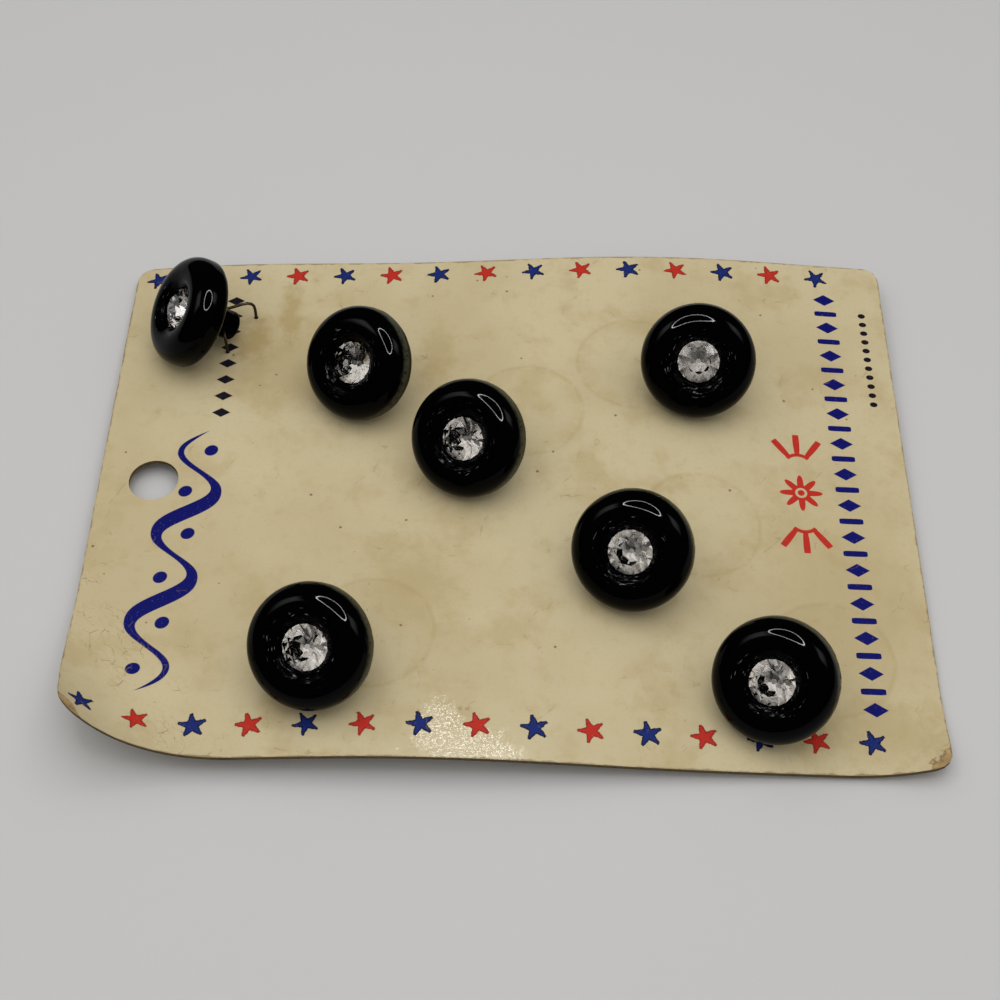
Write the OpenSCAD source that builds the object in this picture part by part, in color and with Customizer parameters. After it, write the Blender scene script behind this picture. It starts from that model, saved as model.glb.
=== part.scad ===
// Card of shank buttons: seven black glass buttons with rhinestones, wired to a warped board.
// Millimetres, +Z up. The table is at z = 0 and the board's middle is over the origin.

/* [Board] */
// Length of the board along X
card_w = 101.6; // [90:0.2:120]
// Height of the board along Y
card_h = 77; // [68:0.5:90]
// Thickness of the pasteboard
card_t = 0.55; // [0.4:0.05:0.9]
// Radius of the board's corners
corner_r = 2; // [1:0.25:4]
// Radius of the punched hang hole
hang_hole_r = 3.1; // [2.5:0.05:4]
// Distance of the hang hole's centre from the left edge
hang_hole_inset = 6.9; // [5.5:0.1:9]
// Height of the hang hole's centre over the board's middle line
hang_hole_rise = 1; // [-6:0.5:6]

/* [Warp] */
// Height of the board's upper face over the table at its middle, before the ripple
card_lift = 4; // [4:0.1:7]
// Rise from the middle line to the far edge
far_rise = 0.5; // [0:0.1:1]
// Fall from the middle to either short edge
bow = 2.2; // [0:0.1:2.4]
// Twist: rise of one diagonal's corners and fall of the other's
twist = 1.5; // [0:0.1:1.7]
// Height of the ripple that runs across the board
ripple = 0.5; // [0:0.05:0.6]
// Length of one ripple
ripple_pitch = 64; // [56:1:80]
// Place of the ripple's crest along X on the middle line
ripple_crest = 5; // [0:0.5:10]

/* [Curled corners] */
// Lift of the near left corner's tip
left_curl = 9.4; // [0:0.2:11]
// Where its crease meets the left edge, from the corner
left_crease_up = 26; // [20:1:30]
// Where its crease meets the near edge, from the corner
left_crease_along = 21; // [16:1:24]
// Lift of the near right corner's tip
right_curl = 2.9; // [0:0.1:4]
// Where its crease meets both edges, from the corner
right_crease = 13; // [10:0.5:16]

/* [Button] */
// Diameter of a button
button_d = 14.5; // [13.5:0.1:15.5]
// Radius of the domed ring's section
dome_r = 2.6; // [2.4:0.05:2.8]
// Height of the straight side wall
side_h = 0.75; // [0.4:0.05:1.2]
// Radius of the rounded edge at the back
back_edge_r = 1; // [0.6:0.05:1.2]
// Depth of the cone behind the back edge
back_cone = 1.7; // [1.2:0.1:2.2]
// Radius of the shank
shank_r = 1.9; // [1.7:0.05:2.1]
// Length of the shank below the back cone
shank_len = 3.3; // [3:0.1:3.8]
// Radius of the shank's rounded tip
tip_r = 0.45; // [0.2:0.05:0.7]
// Radius of the hole across the shank
shank_hole_r = 0.75; // [0.6:0.05:0.85]
// Height of that hole's centre over the shank's tip
shank_hole_rise = 1.8; // [1.6:0.05:2]

/* [Rhinestone] */
// Diameter of the stone's girdle
stone_d = 5.3; // [4.8:0.1:5.6]
// Height of the crown over the girdle
crown_h = 0.75; // [0.5:0.05:0.9]
// Thickness of the girdle
girdle_h = 0.15; // [0.1:0.05:0.25]
// Depth of the pavilion below the girdle
pavilion_h = 1.9; // [1.5:0.1:2.1]
// Room for cement round the stone
stone_gap = 0.08; // [0.05:0.01:0.12]

/* [Wire] */
// Diameter of the wire
wire_d = 0.4; // [0.3:0.05:0.5]
// Room between the shank and each leg's middle line
leg_room = 0.65; // [0.55:0.05:0.9]
// Room round the wire in its holes
wire_gap = 0.1; // [0.06:0.02:0.16]
// Radius of the bends over the board
loop_bend = 0.8; // [0.5:0.05:1]
// Radius of the bends behind the board
tail_bend = 0.4; // [0.3:0.05:0.5]
// Sloping length of each tail
tail_run = 3; // [2:0.25:4]
// Flat length of each tail's end on the table
toe_run = 1; // [0.5:0.25:2]
// How far the first button's far leg is pulled out from its shank hole
pulled_leg = 4.7; // [3:0.1:6]
// Height of that leg's arch over the board
pulled_arch = 3.2; // [2.4:0.1:4]
// Radius of that arch's bend
pulled_bend = 1.6; // [1:0.1:2]

/* [Hidden] */
$fn = 72;

// Gap under a button where it touches the board
seat_gap = 0.08;
// Overrun of every cut
cut_over = 2;

// Places of the shank tips, as shares of half the board's sides
place_shares = [
    [-0.71, 0.655], [-0.308, 0.486], [-0.042, 0.161], [0.486, 0.522],
    [0.323, -0.242], [-0.396, -0.623], [0.645, -0.678],
];
// Direction each button has fallen over, in degrees from +X
fall_azimuths = [-165, -126, -118, -101, -115, -106, -124];
// How far each has fallen, as a share of the angle at which its rim and its shank tip both touch
fall_shares = [1.1, 1, 1, 0.98, 1, 0.88, 1];
// Which button has the pulled leg
pulled_button = 0;

half_w = card_w / 2;
half_h = card_h / 2;
button_r = button_d / 2;
stone_r = stone_d / 2;
wire_r = wire_d / 2;
// Sideways drift of the ripple's crest for each step along Y
ripple_slant_share = 0.39;

// Button section, with z = 0 at the lower end of its straight side wall
ring_r = button_r - dome_r;
back_edge_c = button_r - back_edge_r;
cone_z = -back_edge_r - back_cone;
tip_z = cone_z - shank_len;
tip_c = shank_r - tip_r;
seat_r = stone_r + stone_gap;
// Angle on the ring's section where its inner slope reaches the stone's seat
lip_angle = 180 - acos(min((ring_r - seat_r) / dome_r, 1));
lip_z = side_h + dome_r * sin(lip_angle);
girdle_z = lip_z - stone_gap;
seat_floor_z = girdle_z - girdle_h - pavilion_h - stone_gap;
// Shares of the girdle radius: table corners, crown's middle corners, pavilion's middle corners, culet
table_share = 0.58;
crown_share = 0.8;
pavilion_share = 0.45;
culet_share = 0.12;
seat_floor_r = seat_r * culet_share;

// Fall angle at which the back edge and the shank's rounded tip touch one plane
fall_x = back_edge_c - tip_c;
fall_z = -tip_z - tip_r;
fall_angle = atan2(fall_z, fall_x) - asin((back_edge_r - tip_r) / norm([fall_x, fall_z]));
half_span = shank_r + leg_room;

// Board
card_columns = 32;
card_rows = 22;
corner_steps = 4;

function unit(v) = v / norm(v);

// Height of the board's upper face before its corners curl
function sheet_z(x, y) = let (u = x / half_w, v = y / half_h)
    card_lift + far_rise * v - bow * u * u + twist * u * v
    + ripple * cos(360 * (x - ripple_crest - ripple_slant_share * y) / ripple_pitch);

// Curl past a crease, as a shift toward the board's middle and a rise; lx and ly start at the corner
function curl(lx, ly, along, up, rise) = let (
    share = max(0, 1 - lx / along - ly / up),
    inward = unit([1 / along, 1 / up]),
    reach = 1 / norm([1 / along, 1 / up]))
    concat(inward * rise * rise / reach * share ^ 3 * 2 / 3, [rise * share ^ 2]);

// Point of the upper face for a point of the flat board
function sheet_point(x, y) = let (
    left = curl(x + half_w, y + half_h, left_crease_along, left_crease_up, left_curl),
    right = curl(half_w - x, y + half_h, right_crease, right_crease, right_curl))
    [x + left[0] - right[0], y + left[1] + right[1], sheet_z(x, y) + left[2] + right[2]];

// Half the board's width on a row, narrower where the corners are rounded
function row_half_width(y) = let (past = max(0, abs(y) - half_h + corner_r))
    half_w - corner_r + sqrt(corner_r * corner_r - past * past);

// Rows of the board's grid, closer in the rounded corners
row_places = let (
    corner = [for (k = [0:corner_steps - 1]) half_h - corner_r * (1 - cos(90 * k / corner_steps))],
    inner_h = half_h - corner_r)
    concat(
        -corner,
        [for (j = [0:card_rows]) inner_h * (2 * j / card_rows - 1)],
        [for (k = [1:corner_steps]) corner[corner_steps - k]]);

hang_hole_x = hang_hole_inset - half_w;
// Slopes of the board at the hang hole, over the hole's own width
hang_slope_x = (sheet_z(hang_hole_x + hang_hole_r, hang_hole_rise)
    - sheet_z(hang_hole_x - hang_hole_r, hang_hole_rise)) / (2 * hang_hole_r);
hang_slope_y = (sheet_z(hang_hole_x, hang_hole_rise + hang_hole_r)
    - sheet_z(hang_hole_x, hang_hole_rise - hang_hole_r)) / (2 * hang_hole_r);

// Seat of a button: a frame at its shank tip, with x toward its fall and z off the board
function tip_place(i) = [place_shares[i][0] * half_w, place_shares[i][1] * half_h];
function fall_way(i) = [cos(fall_azimuths[i]), sin(fall_azimuths[i])];
function cross_way(i) = [-sin(fall_azimuths[i]), cos(fall_azimuths[i])];
function place_z(p) = sheet_z(p[0], p[1]);
function seat_angles(i) = let (
    p = tip_place(i),
    reach = back_edge_c,
    along = (place_z(p + reach * fall_way(i)) - place_z(p)) / reach,
    across = (place_z(p + half_span * cross_way(i)) - place_z(p - half_span * cross_way(i)))
        / (2 * half_span))
    [atan(across), -atan(along), fall_azimuths[i]];
function seat_origin(i) = let (p = tip_place(i)) [p[0], p[1], place_z(p) + seat_gap];
function fall(i) = fall_shares[i] * fall_angle;
// Height of the button's own origin over the board, set by what touches: the back edge or the tip
function button_lift(i) = max(
    back_edge_c * sin(fall(i)) + back_edge_r,
    tip_c * sin(fall(i)) + fall_z * cos(fall(i)) + tip_r);

// A seat's point in the part's frame
function turned(v, a) = let (
    x = [v[0], v[1] * cos(a[0]) - v[2] * sin(a[0]), v[1] * sin(a[0]) + v[2] * cos(a[0])],
    y = [x[0] * cos(a[1]) + x[2] * sin(a[1]), x[1], x[2] * cos(a[1]) - x[0] * sin(a[1])])
    [y[0] * cos(a[2]) - y[1] * sin(a[2]), y[0] * sin(a[2]) + y[1] * cos(a[2]), y[2]];
function from_seat(i, v) = seat_origin(i) + turned(v, seat_angles(i));

// Middle of the wire where it crosses the shank, low in the hole
function crown_middle(i) = [
    shank_hole_rise * sin(fall(i)),
    0,
    button_lift(i) + (tip_z + shank_hole_rise) * cos(fall(i)) - shank_hole_r + wire_r + wire_gap];
function crown_end(i, side) = from_seat(i, crown_middle(i) + [0, side * half_span, 0]);
function is_pulled(i, side) = i == pulled_button && side < 0;
// Middle of a pin-hole, straight under the wire's crown or under the pulled leg's arch
function pin_hole(i, side) = let (
    end = crown_end(i, side),
    back = is_pulled(i, side) ? pulled_leg : 0)
    [end[0], end[1]] - back * fall_way(i);

// Corners of one leg from the crown to its toe, each with the radius of its bend
function leg_corners(i, side) = let (
    hole = pin_hole(i, side),
    out = side * cross_way(i),
    under = place_z(hole) - card_t,
    knee_z = (under + wire_r) / 2,
    heel = hole + out * tail_run,
    toe = heel + out * toe_run)
    concat(
        [[crown_end(i, side), loop_bend]],
        is_pulled(i, side) ? [[[hole[0], hole[1], place_z(hole) + pulled_arch], pulled_bend]] : [],
        [
            [[hole[0], hole[1], knee_z], tail_bend],
            [[heel[0], heel[1], wire_r], tail_bend],
            [[toe[0], toe[1], wire_r], 0],
        ]);
function reversed(list) = [for (k = [len(list) - 1:-1:0]) list[k]];
function wire_corners(i) = concat(reversed(leg_corners(i, -1)), leg_corners(i, 1));

// Bends take at most this share of the straight length beside them
bend_share = 0.45;
bend_steps = 4;
wire_sides = 8;
function rounded(corners) = let (last = len(corners) - 1) concat(
    [corners[0][0]],
    [for (k = [1:last - 1]) let (
            b = corners[k][0],
            a = corners[k - 1][0] - b,
            c = corners[k + 1][0] - b,
            start = b + unit(a) * min(corners[k][1], bend_share * norm(a)),
            end = b + unit(c) * min(corners[k][1], bend_share * norm(c)))
        for (m = [0:bend_steps]) let (t = m / bend_steps)
            (1 - t) ^ 2 * start + 2 * t * (1 - t) * b + t ^ 2 * end],
    [corners[last][0]]);

// Outline of a button's section: points along an arc
arc_step = 9;
function arc(c, r, from, to) = let (n = ceil(abs(to - from) / arc_step))
    [for (k = [0:n]) let (a = from + (to - from) * k / n) c + r * [cos(a), sin(a)]];
button_section = concat(
    [[0, tip_z]],
    arc([tip_c, tip_z + tip_r], tip_r, -90, 0),
    [[shank_r, cone_z]],
    arc([back_edge_c, 0], back_edge_r, -90, 0),
    arc([ring_r, side_h], dome_r, 0, lip_angle),
    [[seat_r, lip_z], [seat_r, girdle_z - girdle_h], [seat_floor_r, seat_floor_z], [0, seat_floor_z]]);

module in_button(i) {
    translate(seat_origin(i))
        rotate(seat_angles(i))
            translate([-tip_z * sin(fall(i)), 0, button_lift(i)])
                rotate([0, fall(i), 0])
                    children();
}

module sheet() {
    rows = len(row_places);
    columns = card_columns + 1;
    layer = rows * columns;
    upper = [for (y = row_places) for (k = [0:card_columns])
        sheet_point((2 * k / card_columns - 1) * row_half_width(y), y)];
    lower = [for (p = upper) p - [0, 0, card_t]];
    faces = concat(
        [for (j = [0:rows - 2]) for (k = [0:card_columns - 1]) let (a = j * columns + k, b = a + columns)
            for (f = [[a, b, b + 1], [a, b + 1, a + 1]]) f],
        [for (j = [0:rows - 2]) for (k = [0:card_columns - 1])
            let (a = layer + j * columns + k, b = a + columns)
            for (f = [[a, b + 1, b], [a, a + 1, b + 1]]) f],
        [for (k = [0:card_columns - 1]) for (end = [0, 1])
            let (
                a = end * (layer - columns) + k,
                p = end == 0 ? [a, a + 1] : [a + 1, a])
            for (f = [[p[0], p[1], p[1] + layer], [p[0], p[1] + layer, p[0] + layer]]) f],
        [for (j = [0:rows - 2]) for (end = [0, 1])
            let (
                a = j * columns + end * card_columns,
                p = end == 0 ? [a + columns, a] : [a, a + columns])
            for (f = [[p[0], p[1], p[1] + layer], [p[0], p[1] + layer, p[0] + layer]]) f]);
    polyhedron(concat(upper, lower), faces);
}

module hang_hole_cut() {
    translate([hang_hole_x, hang_hole_rise, sheet_z(hang_hole_x, hang_hole_rise) - card_t / 2])
        rotate([atan(hang_slope_y), -atan(hang_slope_x), 0])
            cylinder(h = 2 * cut_over, r = hang_hole_r, center = true);
}

module pin_hole_cut(i, side) {
    hole = pin_hole(i, side);
    translate([hole[0], hole[1], place_z(hole) - card_t / 2])
        cylinder(h = 2 * cut_over, r = wire_r + wire_gap, center = true);
}

module card() {
    color([0.73, 0.67, 0.53])
        difference() {
            sheet();
            hang_hole_cut();
            for (i = [0:len(place_shares) - 1])
                for (side = [-1, 1])
                    pin_hole_cut(i, side);
        }
}

module button(i) {
    color([0.02, 0.02, 0.02])
        in_button(i)
            difference() {
                rotate_extrude()
                    polygon(button_section);
                translate([0, 0, tip_z + shank_hole_rise])
                    rotate([90, 0, 0])
                        cylinder(h = 2 * cut_over + 2 * shank_r, r = shank_hole_r, center = true);
            }
}

// A brilliant cut: corners round the table, in the crown, at both sides of the girdle, in the pavilion
// and round the culet. The crown's middle corners lie in the planes of the kites beside them.
module cut_stone() {
    kites = 8;
    step = 360 / kites;
    half_cos = cos(step / 2);
    crown_z = crown_h * (1 - (crown_share * half_cos - table_share) / (1 - table_share));
    base_z = -girdle_h;
    pavilion_z = base_z - pavilion_h * (1 - pavilion_share * half_cos) / (1 - culet_share * half_cos);
    function ring(count, share, offset_share, z) = [for (k = [0:count - 1])
        let (angle = 360 * (k + offset_share) / count)
            [stone_r * share * cos(angle), stone_r * share * sin(angle), z]];
    points = concat(
        ring(kites, table_share, 0, crown_h),
        ring(kites, crown_share, 1 / 2, crown_z),
        ring(2 * kites, 1, 0, 0),
        ring(2 * kites, 1, 0, base_z),
        ring(kites, pavilion_share, 1 / 2, pavilion_z),
        ring(kites, culet_share, 1 / 2, base_z - pavilion_h));
    function wrap(k) = (k + kites) % kites;
    function table(k) = wrap(k);
    function crown(k) = kites + wrap(k);
    function girdle(j) = 2 * kites + j % (2 * kites);
    function base(j) = 4 * kites + j % (2 * kites);
    function pavilion(k) = 6 * kites + wrap(k);
    function culet(k) = 7 * kites + wrap(k);
    faces = concat(
        [[for (k = [1:kites]) table(-k)], [for (k = [0:kites - 1]) culet(k)]],
        [for (k = [0:kites - 1]) for (f = [
            [table(k), table(k + 1), crown(k)],
            [table(k), crown(k), girdle(2 * k), crown(k - 1)],
            [crown(k), girdle(2 * k + 1), girdle(2 * k)],
            [crown(k), girdle(2 * k + 2), girdle(2 * k + 1)],
            [base(2 * k), base(2 * k + 1), pavilion(k)],
            [base(2 * k + 1), base(2 * k + 2), pavilion(k)],
            [base(2 * k), pavilion(k), culet(k), culet(k - 1), pavilion(k - 1)],
        ]) f],
        [for (j = [0:2 * kites - 1]) [girdle(j), girdle(j + 1), base(j + 1), base(j)]]);
    polyhedron(points, faces);
}

module rhinestone(i) {
    color([0.86, 0.87, 0.9])
        in_button(i)
            translate([0, 0, girdle_z])
                cut_stone();
}

// A round wire swept along the points of its path, its rings carried along without twist
module swept_wire(path, first_way) {
    last = len(path) - 1;
    function heading(k) = unit(path[min(k + 1, last)] - path[max(k - 1, 0)]);
    function level(n, t) = unit(n - (n * t) * t);
    ways = [for (k = 0, n = level(first_way, heading(0)); k <= last;
        k = k + 1, n = level(n, heading(min(k, last)))) n];
    points = [for (k = [0:last]) let (t = heading(k), a = ways[k], b = cross(t, a))
        for (s = [0:wire_sides - 1]) let (angle = 360 * s / wire_sides)
            path[k] + wire_r * (cos(angle) * a + sin(angle) * b)];
    faces = concat(
        [[for (s = [0:wire_sides - 1]) s]],
        [for (k = [0:last - 1]) for (s = [0:wire_sides - 1]) let (
                a = k * wire_sides + s,
                b = k * wire_sides + (s + 1) % wire_sides)
            for (f = [[a, a + wire_sides, b + wire_sides], [a, b + wire_sides, b]]) f],
        [[for (s = [wire_sides - 1:-1:0]) last * wire_sides + s]]);
    polyhedron(points, faces);
}

module wire(i) {
    color([0.36, 0.26, 0.13])
        swept_wire(rounded(wire_corners(i)), concat(fall_way(i), [0]));
}

card();
for (i = [0:len(place_shares) - 1]) {
    button(i);
    rhinestone(i);
    wire(i);
}
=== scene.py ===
"""Looks of a card of glass buttons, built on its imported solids. Metres, +Z up, with the table at z = 0."""
import math

import bmesh
import bpy
from mathutils import Matrix, Vector, noise


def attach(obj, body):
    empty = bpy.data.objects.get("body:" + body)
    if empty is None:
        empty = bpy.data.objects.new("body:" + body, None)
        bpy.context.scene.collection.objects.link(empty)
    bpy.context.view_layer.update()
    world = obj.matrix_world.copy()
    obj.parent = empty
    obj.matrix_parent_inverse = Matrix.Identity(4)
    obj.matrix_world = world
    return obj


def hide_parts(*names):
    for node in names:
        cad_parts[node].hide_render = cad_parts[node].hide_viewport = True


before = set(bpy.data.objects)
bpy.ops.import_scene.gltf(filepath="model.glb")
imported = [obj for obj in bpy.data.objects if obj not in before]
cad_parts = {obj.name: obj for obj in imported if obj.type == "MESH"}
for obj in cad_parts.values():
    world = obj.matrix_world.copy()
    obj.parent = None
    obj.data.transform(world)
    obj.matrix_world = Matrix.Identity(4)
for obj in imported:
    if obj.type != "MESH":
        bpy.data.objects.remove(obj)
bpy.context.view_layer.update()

# Board, as the solids have it
CARD_W, CARD_H, CARD_T = 0.1016, 0.077, 0.00055
HALF_W, HALF_H = CARD_W / 2, CARD_H / 2
CORNER_R = 0.002
HANG_HOLE_R = 0.0031
HANG_HOLE = Vector((0.0069 - HALF_W, 0.001))

# Warp of the board
CARD_LIFT, FAR_RISE, BOW, TWIST = 0.004, 0.0005, 0.0022, 0.0015
RIPPLE, RIPPLE_PITCH, RIPPLE_CREST, RIPPLE_SLANT_SHARE = 0.0005, 0.064, 0.005, 0.39
LEFT_CURL, LEFT_CREASE_UP, LEFT_CREASE_ALONG = 0.0094, 0.026, 0.021
RIGHT_CURL, RIGHT_CREASE = 0.0029, 0.013

# Button, with z = 0 at the lower end of its straight side wall
BUTTON_R, DOME_R, SIDE_H = 0.00725, 0.0026, 0.00075
BACK_EDGE_R, BACK_CONE = 0.001, 0.0017
SHANK_R, SHANK_LEN, TIP_R = 0.0019, 0.0033, 0.00045
SHANK_HOLE_R, SHANK_HOLE_RISE = 0.00075, 0.0018
STONE_R, GIRDLE_H, PAVILION_H, STONE_GAP = 0.00265, 0.00015, 0.0019, 0.00008
CULET_SHARE = 0.12
RING_R = BUTTON_R - DOME_R
BACK_EDGE_C = BUTTON_R - BACK_EDGE_R
CONE_Z = -BACK_EDGE_R - BACK_CONE
TIP_Z = CONE_Z - SHANK_LEN
TIP_C = SHANK_R - TIP_R
SEAT_R = STONE_R + STONE_GAP
LIP_ANGLE = math.pi - math.acos((RING_R - SEAT_R) / DOME_R)
LIP_Z = SIDE_H + DOME_R * math.sin(LIP_ANGLE)
GIRDLE_Z = LIP_Z - STONE_GAP
SEAT_FLOOR_Z = GIRDLE_Z - GIRDLE_H - PAVILION_H - STONE_GAP

# Places of the shank tips as shares of half the board's sides, and how each button has fallen over
PLACE_SHARES = [
    (-0.71, 0.655), (-0.308, 0.486), (-0.042, 0.161), (0.486, 0.522),
    (0.323, -0.242), (-0.396, -0.623), (0.645, -0.678),
]
FALL_AZIMUTHS = [-165, -126, -118, -101, -115, -106, -124]
FALL_SHARES = [1.1, 1, 1, 0.98, 1, 0.88, 1]
FALL_X, FALL_Z = BACK_EDGE_C - TIP_C, -TIP_Z - TIP_R
FALL_ANGLE = math.atan2(FALL_Z, FALL_X) - math.asin((BACK_EDGE_R - TIP_R) / math.hypot(FALL_X, FALL_Z))
SEAT_GAP = 0.00008
WIRE_R, WIRE_GAP, LEG_ROOM, PULLED_LEG = 0.0002, 0.0001, 0.00065, 0.0047
HALF_SPAN = SHANK_R + LEG_ROOM


def sheet_z(x, y):
    """Height of the board's upper face before its corners curl."""
    u, v = x / HALF_W, y / HALF_H
    wave = math.cos(2 * math.pi * (x - RIPPLE_CREST - RIPPLE_SLANT_SHARE * y) / RIPPLE_PITCH)
    return CARD_LIFT + FAR_RISE * v - BOW * u * u + TWIST * u * v + RIPPLE * wave


def curl(from_side, from_edge, along, up, rise):
    """Shift toward the board's middle and rise past a crease, for distances from the corner."""
    share = max(0.0, 1 - from_side / along - from_edge / up)
    shift = rise * rise * share**3 * 2 / 3
    return Vector((shift / along, shift / up, rise * share**2))


def sheet_point(x, y):
    """Point of the upper face for a point of the flat board."""
    left = curl(x + HALF_W, y + HALF_H, LEFT_CREASE_ALONG, LEFT_CREASE_UP, LEFT_CURL)
    right = curl(HALF_W - x, y + HALF_H, RIGHT_CREASE, RIGHT_CREASE, RIGHT_CURL)
    return Vector((x + left.x - right.x, y + left.y + right.y, sheet_z(x, y) + left.z + right.z))


def turn(angle, axis):
    """A turn about one of the axes."""
    return Matrix.Rotation(angle, 4, axis)


class Seat:
    """Where one button lies: its shank tip's place, the ways along and across its fall, and its frame."""

    def __init__(self, i):
        self.tip = Vector((PLACE_SHARES[i][0] * HALF_W, PLACE_SHARES[i][1] * HALF_H))
        azimuth = math.radians(FALL_AZIMUTHS[i])
        self.fall_way = Vector((math.cos(azimuth), math.sin(azimuth)))
        self.cross_way = Vector((-math.sin(azimuth), math.cos(azimuth)))
        fall = FALL_SHARES[i] * FALL_ANGLE
        tip_z = sheet_z(*self.tip)
        along = (sheet_z(*(self.tip + BACK_EDGE_C * self.fall_way)) - tip_z) / BACK_EDGE_C
        side_a, side_b = (self.tip + side * HALF_SPAN * self.cross_way for side in (1, -1))
        across = (sheet_z(*side_a) - sheet_z(*side_b)) / (2 * HALF_SPAN)
        lift = max(
            BACK_EDGE_C * math.sin(fall) + BACK_EDGE_R,
            TIP_C * math.sin(fall) + FALL_Z * math.cos(fall) + TIP_R)
        self.base = (
            Matrix.Translation((*self.tip, tip_z + SEAT_GAP))
            @ turn(azimuth, "Z") @ turn(-math.atan(along), "Y") @ turn(math.atan(across), "X"))
        self.frame = self.base @ Matrix.Translation((-TIP_Z * math.sin(fall), 0, lift)) @ turn(fall, "Y")
        crown_z = lift + (TIP_Z + SHANK_HOLE_RISE) * math.cos(fall) - SHANK_HOLE_R + WIRE_R + WIRE_GAP
        self.crown = Vector((SHANK_HOLE_RISE * math.sin(fall), 0, crown_z))

    def wire_hole(self, side, pulled):
        """Place of the pin-hole that a leg of the wire goes through, straight under the wire's crown."""
        end = self.base @ (self.crown + Vector((0, side * HALF_SPAN, 0)))
        return end.xy - (PULLED_LEG if pulled else 0) * self.fall_way


seats = [Seat(i) for i in range(len(PLACE_SHARES))]


# Materials

def srgb(red, green, blue):
    """A colour as it looks on screen, from 0 to 255, as the linear one that a shader takes."""
    shares = [c / 255 for c in (red, green, blue)]
    return tuple(c / 12.92 if c <= 0.04045 else ((c + 0.055) / 1.055) ** 2.4 for c in shares) + (1.0,)


class Value:
    """A socket's value; arithmetic on it adds Math nodes."""

    def __init__(self, finish, socket):
        self.finish, self.socket = finish, socket

    def __add__(self, other):
        return self.finish.math("ADD", self, other)

    def __sub__(self, other):
        return self.finish.math("SUBTRACT", self, other)

    def __rsub__(self, other):
        return self.finish.math("SUBTRACT", other, self)

    def __mul__(self, other):
        return self.finish.math("MULTIPLY", self, other)

    def __truediv__(self, other):
        return self.finish.math("DIVIDE", self, other)

    def __abs__(self):
        return self.finish.math("ABSOLUTE", self)

    __radd__, __rmul__ = __add__, __mul__


NOISE_SHIFT = (17.3, 9.1, 5.7)


class Finish:
    """The nodes of one material or of the world, with short ways to add them."""

    def __init__(self, owner):
        self.owner = owner
        owner.use_nodes = True
        self.tree = owner.node_tree
        self.tree.nodes.clear()

    def node(self, kind, inputs=(), **settings):
        """Adds a node with values or links for its inputs, and with its own settings."""
        made = self.tree.nodes.new("ShaderNode" + kind)
        for name, value in settings.items():
            setattr(made, name, value)
        for key, value in dict(inputs).items():
            if isinstance(value, Value):
                self.tree.links.new(value.socket, made.inputs[key])
            else:
                made.inputs[key].default_value = value
        return made

    def out(self, made, key=0):
        return Value(self, made.outputs[key])

    def math(self, operation, *values):
        return self.out(self.node("Math", enumerate(values), operation=operation))

    def step(self, value, low, high):
        """0 at low and 1 at high, smooth between them."""
        inputs = {"Value": value, "From Min": low, "From Max": high}
        return self.out(self.node("MapRange", inputs, interpolation_type="SMOOTHSTEP"))

    def most(self, first, *others):
        """The largest of some values."""
        for other in others:
            first = self.math("MAXIMUM", first, other)
        return first

    def noise(self, vector, scale, detail=2.0, roughness=0.5, seed=0.0, flat=False):
        """Noise from 0 to 1; seed shifts it, and flat noise leaves z out."""
        shifted = self.out(self.node("VectorMath", {0: vector, 1: [seed * shift for shift in NOISE_SHIFT]}))
        inputs = {"Vector": shifted, "Scale": scale, "Detail": detail, "Roughness": roughness}
        return self.out(self.node("TexNoise", inputs, noise_dimensions="2D" if flat else "3D"))

    def cell_edges(self, vector, scale, line):
        """Lines along the edges of scattered cells; line says how far off they start and are full."""
        inputs = {"Vector": vector, "Scale": scale}
        cells = self.node("TexVoronoi", inputs, feature="DISTANCE_TO_EDGE", voronoi_dimensions="2D")
        return self.step(self.out(cells, "Distance"), *line)

    def mix(self, share, under, over):
        return self.out(self.node("Mix", {0: share, 6: under, 7: over}, data_type="RGBA"), 2)

    def attribute(self, name):
        return self.out(self.node("Attribute", attribute_name=name), "Vector")

    def position(self):
        return self.out(self.node("TexCoord"), "Object")

    def parts(self, vector):
        made = self.node("SeparateXYZ", {0: vector})
        return [self.out(made, k) for k in range(3)]

    def point(self, x, y):
        return self.out(self.node("CombineXYZ", {0: x, 1: y}))

    def moved(self, vector, x, y):
        """A vector moved along x and y."""
        return self.out(self.node("VectorMath", {0: vector, 1: self.point(x, y)}))

    def oval(self, vector, place, radii):
        """Distance from a place on the flat, in units of the radii along x and y."""
        scale = [1 / radius for radius in radii] + [0]
        shift = [-centre / radius for centre, radius in zip(place, radii)] + [0]
        inputs = {0: vector, 1: scale, 2: shift}
        scaled = self.out(self.node("VectorMath", inputs, operation="MULTIPLY_ADD"))
        return self.out(self.node("VectorMath", {0: scaled}, operation="LENGTH"), "Value")

    def bump(self, height, strength, distance):
        inputs = {"Height": height, "Strength": strength, "Distance": distance}
        return self.out(self.node("Bump", inputs))

    def surface(self, **inputs):
        """Ends the material with a Principled shader; keys are its sockets' names with _ for spaces."""
        named = {key.replace("_", " "): value for key, value in inputs.items()}
        return self.end(self.node("BsdfPrincipled", named), "OutputMaterial")

    def end(self, shader, output):
        self.tree.links.new(shader.outputs[0], self.node(output).inputs["Surface"])
        return self.owner


def material(name):
    return Finish(bpy.data.materials.new(name))


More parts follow.
